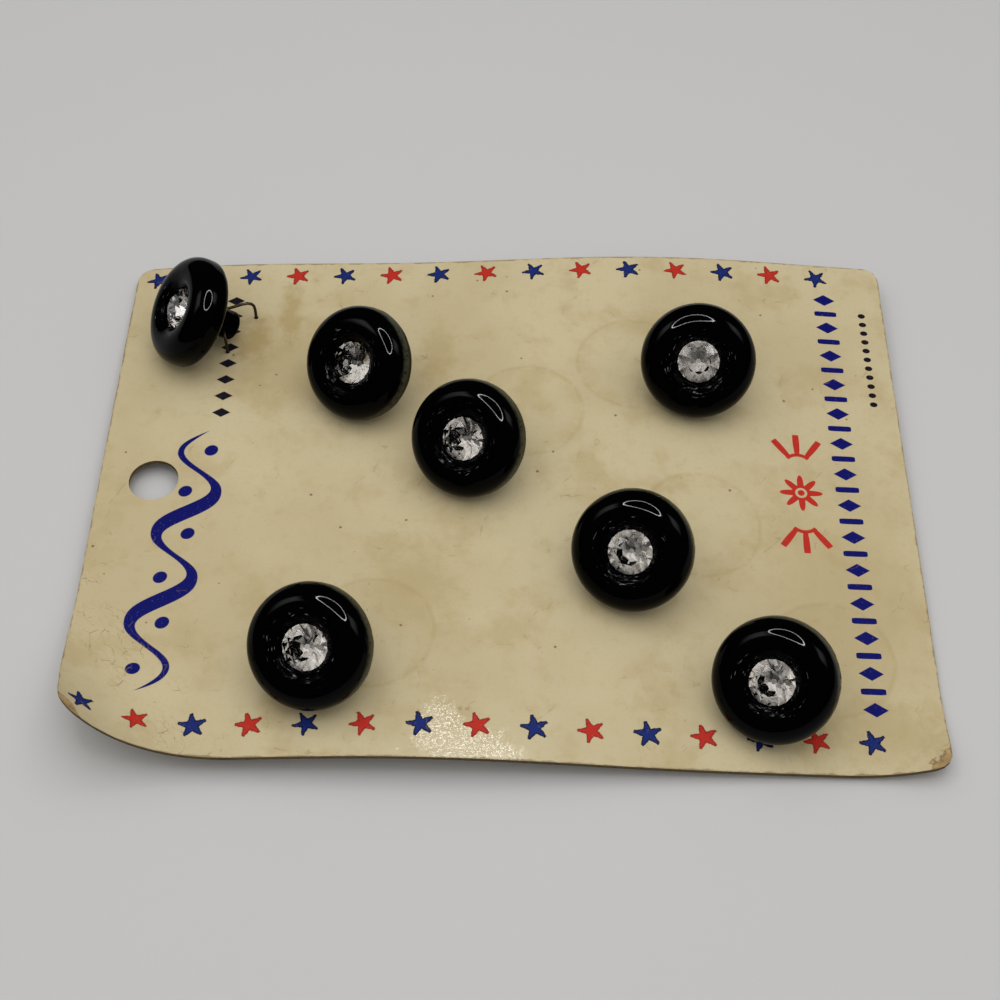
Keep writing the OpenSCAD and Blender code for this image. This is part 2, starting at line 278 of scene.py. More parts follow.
# Print, laid out in millimetres on the flat board
TO_MM = 1000
EDGE_BLUR = 0.05
STAR_PITCH, STAR_FIRST_X, STAR_LAST_CELL = 6.42, -47.78, 14
STAR_HIGH_Y, STAR_LOW_Y = 36.15, -34.3
STAR_TIP_R, STAR_VALLEY_R, STAR_BLUNT_R = 2.15, 0.74, 1.62
STAR_POINT, STAR_TURN, STAR_SIZE_SPREAD, STAR_RAGGED = math.pi / 5, 0.35, 0.08, 0.25
STAR_SEED, STAR_ROW_SEED = 3.7, 31.0
STAR_OUTLINE, RED_OUTLINE_SHARE = (0.22, 0.1), 0.55
FLOURISH_X, FLOURISH_LOW, FLOURISH_HIGH = -42.2, -30.0, 9.0
FLOURISH_PITCH, FLOURISH_SWAY, FLOURISH_SLANT = 13.0, 2.9, 0.115
FLOURISH_THIN, FLOURISH_THICK, FLOURISH_TAPER = 0.3, 1.15, 6.0
BERRY_R, BERRY_OFFSET = 0.85, 0.9
LOZENGES = {"x": -36.6, "low": 12.0, "high": 31.6, "pitch": 2.8, "half_w": 1.2, "half_h": 0.75}
CHAIN = {"x": 42.9, "low": -30.0, "high": 32.4, "pitch": 4.8, "half_w": 1.5, "half_h": 0.95}
BARS = {"x": 42.9, "low": -27.6, "high": 30.0, "pitch": 4.8, "half_w": 1.5, "half_h": 0.42}
DOTS = {"x": 47.8, "low": 15.0, "high": 29.8, "pitch": 1.5, "half_w": 0.5, "half_h": 0.4}
LOZENGE, OVAL, BAR = 1.0, 2.0, 6.0
ROSETTE_X, ROSETTE_Y, ROSETTE_R = 37.0, 0.4, 2.7
LEAF_COUNT, LEAF_WAVE, LEAF_START, EYE_EDGE = 8.0, 0.28, (0.7, 0.8), (0.48, 0.4)
FAN_OFFSET, FAN_RAYS, FAN_SPREAD, FAN_EDGE = 4.0, 10.0, 0.9, (0.0, 0.1)
FAN_INNER_R, FAN_BOW_R, FAN_OUTER_R = 1.6, 2.1, 5.0
RAY_EDGE, RAY_TAPER, RAY_TAPER_EDGE = (-0.1, 0.15), 0.22, (-0.5, -0.3)
PRINT_WEAR, PRINT_WEAR_SHARE = (0.65, 0.85), 0.2
RED_INK, RED_OUTLINE = srgb(184, 44, 32), srgb(92, 32, 22)
BLUE_INK, BLUE_OUTLINE = srgb(22, 40, 108), srgb(10, 14, 44)
NAVY_INK, BLACK_INK = srgb(4, 10, 98), srgb(22, 18, 30)


def star_rows(f, x, y, grain):
    """Depth inside the stars of the two rows, and which of them are red."""
    upper = f.math("GREATER_THAN", y, 0.0)
    cell = f.math("FLOOR", (x - STAR_FIRST_X) / STAR_PITCH + 0.5)
    seed = cell + upper * STAR_ROW_SEED + STAR_SEED
    chance = f.out(f.node("TexWhiteNoise", {"W": seed}, noise_dimensions="1D"))
    dx = x - STAR_FIRST_X - cell * STAR_PITCH
    dy = y - upper * (STAR_HIGH_Y - STAR_LOW_Y) - STAR_LOW_Y
    angle = f.math("ARCTAN2", dy, dx) + math.pi + (chance - 0.5) * STAR_TURN
    fold = f.math("PINGPONG", angle, STAR_POINT)
    radius = f.math("SQRT", dx * dx + dy * dy)
    normal_x = STAR_VALLEY_R * math.sin(STAR_POINT)
    normal_y = STAR_TIP_R - STAR_VALLEY_R * math.cos(STAR_POINT)
    length = math.hypot(normal_x, normal_y)
    reach = f.math("COSINE", fold) * (normal_x / length) + f.math("SINE", fold) * (normal_y / length)
    arms = STAR_TIP_R * normal_x / length - radius * reach
    ragged = (chance - 0.5) * STAR_SIZE_SPREAD + (grain - 0.5) * STAR_RAGGED
    inside = f.math("MINIMUM", arms, STAR_BLUNT_R - radius) + ragged
    past_end = f.math("GREATER_THAN", cell, STAR_LAST_CELL + 0.5)
    return inside - past_end * STAR_PITCH, f.math("MODULO", cell, 2.0)


def inked(f, depth):
    """1 where the depth inside a mark is above zero, with the print's soft edge."""
    return f.step(depth, -EDGE_BLUR, EDGE_BLUR)


def window(f, value, low, high):
    """1 between two values, with the print's soft edge."""
    past_low = f.step(value, low - EDGE_BLUR, low + EDGE_BLUR)
    return past_low * f.step(value, high + EDGE_BLUR, high - EDGE_BLUR)


def flourish(f, x, y):
    """A wavy pen stroke, thick on its rising side, with a berry in each bend."""
    turns = (y - FLOURISH_LOW) / FLOURISH_PITCH
    phase = turns * (2 * math.pi)
    swing = f.math("COSINE", phase)
    slope = swing * (FLOURISH_SWAY * 2 * math.pi / FLOURISH_PITCH)
    from_axis = x - FLOURISH_X - (y - FLOURISH_LOW) * FLOURISH_SLANT
    across = abs(from_axis - f.math("SINE", phase) * FLOURISH_SWAY)
    distance = across / f.math("SQRT", slope * slope + 1.0)
    taper = f.math("MINIMUM", y - FLOURISH_LOW, FLOURISH_HIGH - y) / FLOURISH_TAPER
    full_width = FLOURISH_THIN + (FLOURISH_THICK - FLOURISH_THIN) * (swing * 0.5 + 0.5)
    half_width = full_width * f.math("MINIMUM", taper, 1.0)
    stroke = inked(f, half_width - distance)
    bend = f.math("FLOOR", turns * 2.0)
    side = 1.0 - f.math("MODULO", bend, 2.0) * 2.0
    berry_x = from_axis + side * BERRY_OFFSET
    berry_y = (turns * 2.0 - bend - 0.5) * (FLOURISH_PITCH / 2)
    berry_r = f.math("SQRT", berry_x * berry_x + berry_y * berry_y)
    berry = inked(f, BERRY_R - berry_r)
    return f.most(stroke, berry) * window(f, y, FLOURISH_LOW, FLOURISH_HIGH)


def marks(f, x, y, row, power):
    """A column of small marks; the power makes them lozenges, ovals or bars."""
    cell = f.math("ROUND", (y - row["low"]) / row["pitch"])
    dx = abs(x - row["x"]) / row["half_w"]
    dy = abs(y - row["low"] - cell * row["pitch"]) / row["half_h"]
    size = f.math("POWER", dx, power) + f.math("POWER", dy, power)
    blur = EDGE_BLUR / row["half_h"]
    half = row["pitch"] / 2
    return f.step(size, 1.0 + blur, 1.0 - blur) * window(f, y, row["low"] - half, row["high"] + half)


def rosette(f, x, y):
    """An eight-leaved rosette with a fan of rays above and below it."""
    dx, dy = x - ROSETTE_X, y - ROSETTE_Y
    angle = f.math("ARCTAN2", dy, dx)
    radius = f.math("SQRT", dx * dx + dy * dy)
    leaf = f.math("COSINE", angle * LEAF_COUNT) * LEAF_WAVE + (1.0 - LEAF_WAVE)
    petals = inked(f, leaf * ROSETTE_R - radius) * f.step(radius, *LEAF_START)
    eye = f.step(radius, *EYE_EDGE)
    fans = []
    for side in (1, -1):
        fan_x, fan_y = abs(dx), dy * side - FAN_OFFSET
        fan_r = f.math("SQRT", fan_x * fan_x + fan_y * fan_y)
        spread = f.step(fan_y - fan_x * FAN_SPREAD, *FAN_EDGE)
        rays = f.math("COSINE", f.math("ARCTAN2", fan_x, fan_y) * FAN_RAYS)
        taper = f.step(rays, *(fan_r * RAY_TAPER + edge for edge in RAY_TAPER_EDGE))
        ray = f.step(rays, *RAY_EDGE) * taper * window(f, fan_r, FAN_INNER_R, FAN_OUTER_R)
        bow = window(f, fan_r, FAN_INNER_R, FAN_BOW_R)
        fans.append(f.most(ray, bow) * spread)
    return f.most(petals, eye, *fans)


def printed(f, flat, colour, grain):
    """Lays the print over the paper, a little worn; also returns where the stars' thick ink is."""
    x, y, _ = f.parts(flat)
    worn = 1.0 - f.step(grain, *PRINT_WEAR) * PRINT_WEAR_SHARE
    star, odd = star_rows(f, x, y, grain)
    outline = f.step(star, *STAR_OUTLINE)
    blue = f.mix(outline, BLUE_INK, BLUE_OUTLINE)
    red = f.mix(outline * RED_OUTLINE_SHARE, RED_INK, RED_OUTLINE)
    star_ink = inked(f, star)
    colour = f.mix(star_ink * worn, colour, f.mix(odd, blue, red))
    colour = f.mix(rosette(f, x, y) * worn, colour, RED_INK)
    navy = f.most(flourish(f, x, y), marks(f, x, y, CHAIN, LOZENGE), marks(f, x, y, BARS, BAR))
    colour = f.mix(navy * worn, colour, NAVY_INK)
    black = f.most(marks(f, x, y, LOZENGES, LOZENGE), marks(f, x, y, DOTS, OVAL))
    return f.mix(black * worn, colour, BLACK_INK), star_ink


# Ageing of the board, in millimetres: stains as place, radii and strength, rings as place and radius
STAINS = [
    ((-33.5, 24.0), (3.2, 5.0), 0.9),
    ((-29.0, 29.0), (1.8, 7.0), 0.8),
    ((-27.0, 17.0), (8.0, 5.0), 0.4),
    ((-11.0, -16.0), (7.0, 8.0), 0.5),
    ((-9.0, 22.0), (3.0, 6.0), 0.5),
    ((20.0, 26.0), (6.0, 3.0), 0.4),
    ((44.0, -33.0), (9.0, 6.0), 0.5),
    # a broad faint darkening over the right side of the board
    ((42.0, -14.0), (11.0, 24.0), 0.3),
    ((-30.5, 21.0), (7.0, 9.0), 0.35),
]
STAIN_RAGGED, STAIN_EDGE, STAIN_SHARE = 1.5, (1.2, 0.2), 0.75
RING_MARKS = [
    ((2.6, 11.5), 7.2), ((24.0, -5.2), 7.4), ((-15.5, -22.0), 7.4),
    ((38.2, -23.5), 7.6), ((16.5, 19.5), 7.2),
]
RING_RAGGED, RING_LINE, RING_FADE, RING_EDGE = 0.06, (0.08, 0.0), (-0.35, -0.02), (0.02, -0.02)
RING_FILL, RING_BREAKS, RING_SHARE = 0.5, (0.3, 0.55), 0.3
SPECK_SCALE, SPECK_CHANCE, SPECK_SIZE = 0.5, (0.955, 1.0), 0.12
SPECK_EDGE, SPECK_SHARE = (0.0, 0.05), 0.7
HALF_W_MM, HALF_H_MM = HALF_W * TO_MM, HALF_H * TO_MM
CREASE_ALONG_MM, CREASE_UP_MM = LEFT_CREASE_ALONG * TO_MM, LEFT_CREASE_UP * TO_MM
CRACK_PLACE_SHARE, CRACK_REACH = 0.84, (0.26, 0.15)
CRACK_CELL, CRACK_SCALE, CRACK_BEND, CRACK_LINE = (20.0, 4.6, 1.0), 5.0, 1.5, (0.022, 0.006)
CRACK_BREAKS, CRACK_SHARE = (0.4, 0.5), 0.7
HAIRLINE_SCALE, HAIRLINE_BEND_X, HAIRLINE_BEND_Y, HAIRLINE = 0.16, 6.0, 9.0, (0.014, 0.004)
HAIRLINE_AREAS, HAIRLINE_BREAKS, HAIRLINE_SHARE = (0.5, 0.56), (0.5, 0.6), 0.35
LOW_CORNER_WEAR, HIGH_CORNER_WEAR = 2.5, 0.9
TEAR_RAGGED, TEAR_EDGE, TEAR_LINE, TEAR_LINE_SHARE = 3.0, (0.1, -0.1), (0.25, 0.0), 0.7
CORE_MOTTLE, CORE_MOTTLE_SHARE = (0.3, 0.7), 0.5
SOIL_RAGGED, SOIL_EDGE, SOIL_SHARE = 0.7, (0.25, 0.02), 0.65
PAPER_PALE, PAPER_BUFF, PAPER_TAN = srgb(199, 185, 148), srgb(190, 175, 137), srgb(181, 162, 120)
PALE_TO_BUFF = (0.35, 0.68)
TAN_STEPS = [(0.48, 0.75, 0.6), (0.5, 0.8, 0.3), (0.55, 0.8, 0.3)]
STAIN_BROWN, SPECK_BROWN, CRACK_BROWN = srgb(163, 139, 86), srgb(92, 68, 40), srgb(132, 108, 70)
CORE_BROWN, GRIME = srgb(186, 158, 112), srgb(120, 96, 62)
COAT_LEAN_X, COAT_LEAN_Y, COAT_RELIEF = 1.8, 1.5, 0.000012
SHEEN_SPOTS = [((-6.9, -34.6), (2.9, 3.8)), ((-4.2, -37.2), (6.4, 2.6))]
SHEEN_RAGGED, SHEEN_EDGE, SPECKLE_EDGE = 1.2, (1.15, 0.7), (0.42, 0.6)
COAT_THIN, COAT_HAZE = 0.03, 0.12
BACK_PALE, BACK_BUFF, FIBRE_BROWN = srgb(176, 160, 126), srgb(160, 142, 106), srgb(138, 118, 84)
BACK_CLOUDS, FIBRES, FIBRE_SHARE, FIBRE_RELIEF = (0.35, 0.7), (0.5, 0.8), 0.4, 0.00008
# Colours of the cut edge: grey-brown plies, darkened with painted shade of the dark gap under the card's
# lifted edge.
PLY_PALE_WITH_SHADE, PLY_BROWN_WITH_SHADE, FRAY_DARK_WITH_SHADE = srgb(108, 92, 62), srgb(80, 66, 42), srgb(66, 52, 32)
PLY_TURNS, PLY_FRAY, PLY_EDGE, PLY_RELIEF = 18.0, 5.0, (-0.4, 0.8), 0.00006
FRAYS, FRAY_SHARE = (0.5, 0.75), 0.6


def stained(f, flat, colour, mottle):
    """Adds water stains, a broad darkening over the right side, rings pressed in by the buttons, and foxing.
    """
    ragged = (mottle - 0.5) * STAIN_RAGGED
    spots = []
    for place, radii, strength in STAINS:
        spots.append(f.step(f.oval(flat, place, radii) + ragged, *STAIN_EDGE) * strength)
    colour = f.mix(f.most(*spots) * STAIN_SHARE, colour, STAIN_BROWN)
    rings = []
    for place, radius in RING_MARKS:
        off = f.oval(flat, place, (radius, radius)) - 1.0 + ragged * RING_RAGGED
        inside = f.step(off, *RING_FADE) * f.step(off, *RING_EDGE) * RING_FILL
        rings.append(f.most(f.step(abs(off), *RING_LINE), inside))
    colour = f.mix(f.most(*rings) * RING_SHARE * f.step(mottle, *RING_BREAKS), colour, STAIN_BROWN)
    inputs = {"Vector": flat, "Scale": SPECK_SCALE}
    cells = f.node("TexVoronoi", inputs, feature="F1", voronoi_dimensions="2D")
    chance, _, _ = f.parts(f.out(cells, "Color"))
    size = f.step(chance, *SPECK_CHANCE) * SPECK_SIZE
    speck = f.step(size - f.out(cells, "Distance"), *SPECK_EDGE)
    return f.mix(speck * SPECK_SHARE, colour, SPECK_BROWN)


def cracked(f, flat, colour, mottle, blotch):
    """Adds fine broken cracks of the coating, along the crease of the curled corner."""
    x, y, _ = f.parts(flat)
    crease = (x + HALF_W_MM) / CREASE_ALONG_MM + (y + HALF_H_MM) / CREASE_UP_MM
    slant = (0, 0, math.atan2(-CREASE_UP_MM, CREASE_ALONG_MM))
    bent = f.moved(flat, mottle * CRACK_BEND, mottle * CRACK_BEND)
    inputs = {"Vector": bent, "Rotation": slant, "Scale": CRACK_CELL}
    along = f.out(f.node("Mapping", inputs, vector_type="TEXTURE"))
    near_crease = f.step(abs(crease - CRACK_PLACE_SHARE), *CRACK_REACH)
    line = f.cell_edges(along, CRACK_SCALE, CRACK_LINE) * near_crease
    return f.mix(line * f.step(blotch, *CRACK_BREAKS) * CRACK_SHARE, colour, CRACK_BROWN)


def scratched(f, flat, colour, mottle, blotch):
    """Adds a few faint hairlines."""
    bent = f.moved(flat, blotch * HAIRLINE_BEND_X, blotch * HAIRLINE_BEND_Y)
    line = f.cell_edges(bent, HAIRLINE_SCALE, HAIRLINE)
    line = line * f.step(blotch, *HAIRLINE_AREAS) * f.step(mottle, *HAIRLINE_BREAKS)
    return f.mix(line * HAIRLINE_SHARE, colour, CRACK_BROWN)


def rubbed(f, flat, colour, mottle):
    """Bares the brown core at the corners and soils the edges; also returns where the coating is gone."""
    x, y, _ = f.parts(flat)
    side, edge = HALF_W_MM - abs(x), HALF_H_MM - abs(y)
    ragged = mottle - 0.5
    reach = HIGH_CORNER_WEAR + f.math("LESS_THAN", y, 0.0) * (LOW_CORNER_WEAR - HIGH_CORNER_WEAR)
    torn = f.math("SQRT", side * side + edge * edge) + ragged * TEAR_RAGGED - reach
    bare = f.step(torn, *TEAR_EDGE)
    core = f.mix(f.step(mottle, *CORE_MOTTLE) * CORE_MOTTLE_SHARE, CORE_BROWN, GRIME)
    colour = f.mix(bare, colour, core)
    colour = f.mix(f.step(abs(torn), *TEAR_LINE) * TEAR_LINE_SHARE, colour, GRIME)
    soiled = f.step(f.math("MINIMUM", side, edge) + ragged * SOIL_RAGGED, *SOIL_EDGE)
    return f.mix(soiled * SOIL_SHARE, colour, GRIME), bare


def board_face():
    """Coated buff pasteboard with its print and its age."""
    f = material("board_face")
    flat = f.attribute("flat")
    cloud = f.noise(flat, scale=0.03, detail=3.0, roughness=0.6, flat=True)
    blotch = f.noise(flat, scale=0.12, detail=3.0, roughness=0.65, seed=4.0, flat=True)
    mottle = f.noise(flat, scale=0.5, detail=3.0, roughness=0.65, seed=1.0, flat=True)
    grain = f.noise(flat, scale=2.6, detail=2.0, roughness=0.6, seed=2.0, flat=True)
    colour = f.mix(f.step(cloud, *PALE_TO_BUFF), PAPER_PALE, PAPER_BUFF)
    tan = 0.0
    for pattern, (low, high, share) in zip((blotch, mottle, grain), TAN_STEPS):
        tan = f.step(pattern, low, high) * share + tan
    colour = f.mix(f.math("MINIMUM", tan, 1.0), colour, PAPER_TAN)
    colour = stained(f, flat, colour, mottle)
    colour, star_ink = printed(f, flat, colour, grain)
    colour = cracked(f, flat, colour, mottle, blotch)
    colour = scratched(f, flat, colour, mottle, blotch)
    colour, bare = rubbed(f, flat, colour, mottle)
    x, y, _ = f.parts(flat)
    pebble = f.noise(flat, scale=4.5, detail=0.0, roughness=0.4, seed=3.0, flat=True)
    pebbled = f.bump(x * COAT_LEAN_X + y * COAT_LEAN_Y + pebble, strength=1.0, distance=COAT_RELIEF)
    off_sheen = f.math("MINIMUM", *(f.oval(flat, place, radii) for place, radii in SHEEN_SPOTS))
    speckle = f.noise(flat, scale=2.7, detail=1.0, roughness=0.5, seed=7.0, flat=True)
    speckled = f.step(speckle, *SPECKLE_EDGE) * (1.0 - COAT_HAZE) + COAT_HAZE
    sheen = f.step(off_sheen + (mottle - 0.5) * SHEEN_RAGGED, *SHEEN_EDGE) * speckled
    coat = (sheen * (1.0 - COAT_THIN) + COAT_THIN) * (1.0 - star_ink) * (1.0 - bare)
    return f.surface(
        Base_Color=colour, Roughness=0.6, Specular_IOR_Level=0.05,
        Coat_Weight=coat, Coat_Roughness=0.18, Coat_IOR=1.36, Coat_Normal=pebbled)


def board_back():
    """Bare grey-buff back of the pasteboard, with fibres and handling marks."""
    f = material("board_back")
    flat = f.attribute("flat")
    fibre = f.noise(flat, scale=3.0, detail=5.0, roughness=0.7, flat=True)
    cloud = f.noise(flat, scale=0.06, detail=4.0, roughness=0.6, seed=3.0, flat=True)
    colour = f.mix(f.step(cloud, *BACK_CLOUDS), BACK_PALE, BACK_BUFF)
    colour = f.mix(f.step(fibre, *FIBRES) * FIBRE_SHARE, colour, FIBRE_BROWN)
    normal = f.bump(fibre, strength=0.4, distance=FIBRE_RELIEF)
    return f.surface(Base_Color=colour, Roughness=0.85, Normal=normal, Specular_IOR_Level=0.25)


def board_edge():
    """Cut edge of the board: grey-brown plies, rubbed and grimy, and darkened all over with painted shade of
    the gap under the card's edge.
    """
    f = material("board_edge")
    flat = f.attribute("flat")
    depth, _, _ = f.parts(f.attribute("depth"))
    fray = f.noise(flat, scale=1.6, detail=4.0, roughness=0.65, flat=True)
    ply = f.math("SINE", depth * PLY_TURNS + fray * PLY_FRAY)
    colour = f.mix(f.step(ply, *PLY_EDGE), PLY_PALE_WITH_SHADE, PLY_BROWN_WITH_SHADE)
    colour = f.mix(f.step(fray, *FRAYS) * FRAY_SHARE, colour, FRAY_DARK_WITH_SHADE)
    normal = f.bump(ply * 0.5 + fray, strength=0.5, distance=PLY_RELIEF)
    return f.surface(Base_Color=colour, Roughness=0.85, Normal=normal, Specular_IOR_Level=0.25)


# Glass, foil, wire and table; the marks on the glass are in millimetres of a button's own frame
GLASS_BLACK, DUST_AND_GLINT_GREY, RIM_OLIVE = srgb(2, 2, 3), srgb(160, 160, 156), srgb(62, 62, 46)
FULL_SHINE, CLOUDED_SHINE = srgb(255, 255, 255), srgb(60, 60, 60)
STREAK_TURNS, STREAK_SEED, STREAK_NARROWING = 4.0, 40.0, 6.0
# Pale streaks in the dish round the stone: partly a dusting of dirt, partly painted glints of the lamp.
DUST_AND_GLINT_STREAKS, DUST_AND_GLINT_REACH, DUST_AND_GLINT_AREAS, DUST_AND_GLINT_SHARE = (0.7, 0.78), (4.8, 4.2), (0.5, 0.65), 0.35
DUST_AND_GLINT_TURNS, DUST_AND_GLINT_NARROWING = 0.3, 0.5
NEAR_STONE, DISH_REACH, CLOUD_STREAKS = (4.4, 3.4), (5.2, 4.4), (0.64, 0.56)
RIM_TOP, RIM_FOOT, RIM_REACH, RIM_BREAKS = (1.7, 1.2), (0.0, 0.6), (6.4, 6.8), (0.2, 0.6)
GLASS_ROUGHNESS, RIM_DULL, DUST_AND_GLINT_DULL, NEAR_STONE_DULL = 0.04, 0.35, 0.4, 0.05
PIT_DEPTH, PIT_DEPTH_NEAR_STONE, GLASS_RELIEF = 0.05, 2.2, 0.0004
CLEAR_WHITE, FILM_GREY, FILM_EDGE, FILM_SHARE = srgb(252, 252, 252), srgb(226, 224, 220), (0.6, 0.8), 0.1
FOIL_BRIGHT, FOIL_DULL, FOIL_DULL_EDGE = srgb(208, 205, 201), srgb(172, 165, 156), (0.5, 0.75)
WIRE_BROWN, WIRE_DARK, TARNISH_EDGE = srgb(66, 52, 34), srgb(34, 26, 18), (0.35, 0.7)
TABLE_GREY = srgb(196, 195, 194)


def black_glass():
    """Fire-polished pressed glass: deep black, dull at the rim, with film round the stone and pale streaks
    there, partly a dusting of dirt and partly painted glints of the lamp.
    """
    f = material("black_glass")
    local = f.attribute("local")
    number, _, _ = f.parts(f.attribute("number"))
    x, y, z = f.parts(local)
    radius = f.math("SQRT", x * x + y * y)
    ring_way = f.math("ARCTAN2", y, x) * STREAK_TURNS + number * STREAK_SEED
    along_ring = f.point(ring_way, radius * STREAK_NARROWING)
    streaks = f.noise(along_ring, scale=1.0, detail=1.0, roughness=0.5, flat=True)
    areas = f.point(ring_way * DUST_AND_GLINT_TURNS, radius * DUST_AND_GLINT_NARROWING)
    dust_and_glint_patches = f.noise(areas, scale=1.0, detail=1.0, roughness=0.5, seed=5.0, flat=True)
    pits = f.noise(local, scale=1.3, detail=3.0, roughness=0.6, seed=2.0)
    waves = f.noise(local, scale=0.3, detail=1.0, roughness=0.4)
    # pale streaks that are partly a dusting of dirt and partly painted glints of the lamp
    dust_and_glint = f.step(streaks, *DUST_AND_GLINT_STREAKS) * f.step(radius, *DUST_AND_GLINT_REACH) * f.step(dust_and_glint_patches, *DUST_AND_GLINT_AREAS)
    not_first = f.math("MINIMUM", number, 1.0)
    rim = f.step(z, *RIM_TOP) * f.step(z, *RIM_FOOT) * f.step(radius, *RIM_REACH) * not_first
    rim = rim * f.step(pits, *RIM_BREAKS)
    near_stone = f.step(radius, *NEAR_STONE)
    clouded = f.step(radius, *DISH_REACH) * f.step(streaks, *CLOUD_STREAKS)
    colour = f.mix(dust_and_glint * DUST_AND_GLINT_SHARE, GLASS_BLACK, DUST_AND_GLINT_GREY)
    colour = f.mix(rim, colour, RIM_OLIVE)
    dull = rim * RIM_DULL + dust_and_glint * DUST_AND_GLINT_DULL + near_stone * NEAR_STONE_DULL
    pitted = waves + pits * (near_stone * PIT_DEPTH_NEAR_STONE + PIT_DEPTH)
    return f.surface(
        Base_Color=colour, Roughness=GLASS_ROUGHNESS + dull, IOR=1.5, Specular_IOR_Level=0.06,
        Specular_Tint=f.mix(clouded, FULL_SHINE, CLOUDED_SHINE),
        Normal=f.bump(pitted, strength=0.1, distance=GLASS_RELIEF))


def crystal():
    """Clear cut glass with a trace of film."""
    f = material("crystal")
    film = f.step(f.noise(f.position(), scale=900.0), *FILM_EDGE) * FILM_SHARE
    colour = f.mix(film, CLEAR_WHITE, FILM_GREY)
    return f.surface(Base_Color=colour, Roughness=0.0, IOR=1.56, Transmission_Weight=1.0)


def foil():
    """Silvered back of the stones, dulled in places."""
    f = material("foil")
    dull = f.step(f.noise(f.position(), scale=1400.0, detail=3.0, roughness=0.6), *FOIL_DULL_EDGE)
    colour = f.mix(dull, FOIL_BRIGHT, FOIL_DULL)
    return f.surface(Base_Color=colour, Roughness=0.04 + dull * 0.06, Metallic=1.0)


def dark_wire():
    """Brown tarnished wire."""
    f = material("dark_wire")
    tarnish = f.noise(f.position(), scale=2600.0, detail=3.0, roughness=0.6)
    colour = f.mix(f.step(tarnish, *TARNISH_EDGE), WIRE_BROWN, WIRE_DARK)
    return f.surface(Base_Color=colour, Roughness=0.35 + tarnish * 0.3, Metallic=0.7)


def table_top():
    """Plain pale table."""
    return material("table_top").surface(Base_Color=TABLE_GREY, Roughness=0.9, Specular_IOR_Level=0.1)


# Pieces

def finished(name, mesh, materials, node):
    """Makes a piece of a mesh: it rides on the part's body and stands for a solid."""
    piece = bpy.data.objects.new(name, mesh)
    bpy.context.scene.collection.objects.link(piece)
    for look in materials:
        mesh.materials.append(look)
    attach(piece, "root")
    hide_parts(node)


def mesh_of(bm, name, smooth_angle):
    """Ends a bmesh as a mesh, smooth up to an angle in degrees."""
    mesh = bpy.data.meshes.new(name)
    bm.to_mesh(mesh)
    bm.free()
    mesh.shade_smooth()
    mesh.set_sharp_from_angle(angle=math.radians(smooth_angle))
    return mesh


BOARD_COLUMNS, BOARD_ROWS = 184, 140
HANG_HOLE_CELLS, WIRE_HOLE_CELLS = 12, 4
EDGE_FRAY, FRAY_BIAS, COARSE_FRAY_SCALE = 0.00006, 0.5, 420
FINE_FRAY_SCALE, FINE_FRAY_SHARE = 1700, 0.6
OUTLINE_TOLERANCE, BOARD_SMOOTH = 1e-6, 50


def punch(bm, place, radius, cells):
    """Cuts a round hole in the flat grid: some cells come out and their rim is drawn onto the circle."""
    step_x, step_y = CARD_W / BOARD_COLUMNS, CARD_H / BOARD_ROWS
    middle = Vector((
        round((place.x + HALF_W) / step_x) * step_x - HALF_W,
        round((place.y + HALF_H) / step_y) * step_y - HALF_H))
    taken = set()
    for face in bm.faces:
        off = face.calc_center_median().xy - middle
        if max(abs(off.x) / step_x, abs(off.y) / step_y) < cells / 2:
            taken.add(face)
    corners = {vert for face in taken for vert in face.verts}
    rim = [vert for vert in corners if any(face not in taken for face in vert.link_faces)]
    bmesh.ops.delete(bm, geom=list(taken), context="FACES")
    for vert in rim:
        vert.co.xy = place + (vert.co.xy - middle).normalized() * radius


def frayed(vert):
    """A boundary point of the flat board, drawn in a little where the edge is rubbed."""
    x, y = vert.co.x, vert.co.y
    coarse = noise.noise(Vector((x, y, 0)) * COARSE_FRAY_SCALE)
    fine = noise.noise(Vector((x, y, 1)) * FINE_FRAY_SCALE)
    inward = EDGE_FRAY * max(0.0, FRAY_BIAS + coarse + FINE_FRAY_SHARE * fine)
    return Vector((x - math.copysign(inward, x), y - math.copysign(inward, y)))


def rounded_corner(x, y):
    """Point of the flat board for a point of the square grid: its corners are rounded."""
    past = max(0.0, (abs(y) - HALF_H + CORNER_R) / CORNER_R) * math.pi / 2
    row_half_w = HALF_W - CORNER_R * (1 - math.cos(past))
    row_y = y if past == 0 else math.copysign(HALF_H - CORNER_R * (1 - math.sin(past)), y)
    return Vector((x * row_half_w / HALF_W, row_y))


